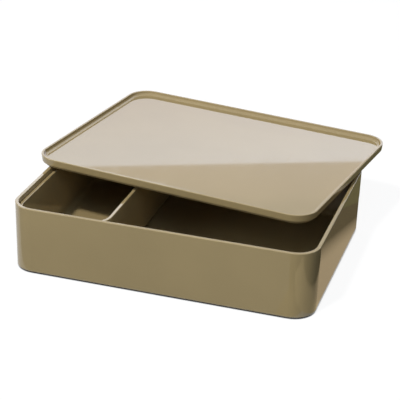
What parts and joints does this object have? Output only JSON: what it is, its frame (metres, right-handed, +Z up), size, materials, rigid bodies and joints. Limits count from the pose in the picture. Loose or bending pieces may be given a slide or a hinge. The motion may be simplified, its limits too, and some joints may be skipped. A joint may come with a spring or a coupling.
{
  "type": "desk organizer with lift lid",
  "caption": "Shallow rectangular desk box with rounded corners, a lift-out insert tray at one end and a loose lift-off lid with a raised rim, lying askew on top.",
  "frame": {"origin": "middle of the box's base, on the surface it stands on", "axes": "+X to the right along the long side, +Y to the back, +Z up; the insert tray stands at -X and the lid is pushed towards +Y"},
  "size_m": [0.2804, 0.2755, 0.0671],
  "materials": {
    "moulded_plastic": "high gloss, warm grey-brown moulded plastic",
    "pad_rubber": "matt dark rubber"
  },
  "bodies": {
    "box": {"box_shell": "moulded_plastic", "non_slip_pad_1": "pad_rubber", "non_slip_pad_2": "pad_rubber", "non_slip_pad_3": "pad_rubber", "non_slip_pad_4": "pad_rubber"},
    "tray": {"insert_tray": "moulded_plastic"},
    "lid": {"lid": "moulded_plastic"}
  },
  "joints": [
    {"name": "tray_lift", "type": "slide", "parent": "box", "child": "tray", "axis": [0, 0, 1], "range_m": [0, 0.07]},
    {"name": "lid_lift", "type": "slide", "parent": "tray", "child": "lid", "axis": [0, 0, 1], "range_m": [0, 0.12]}
  ]
}
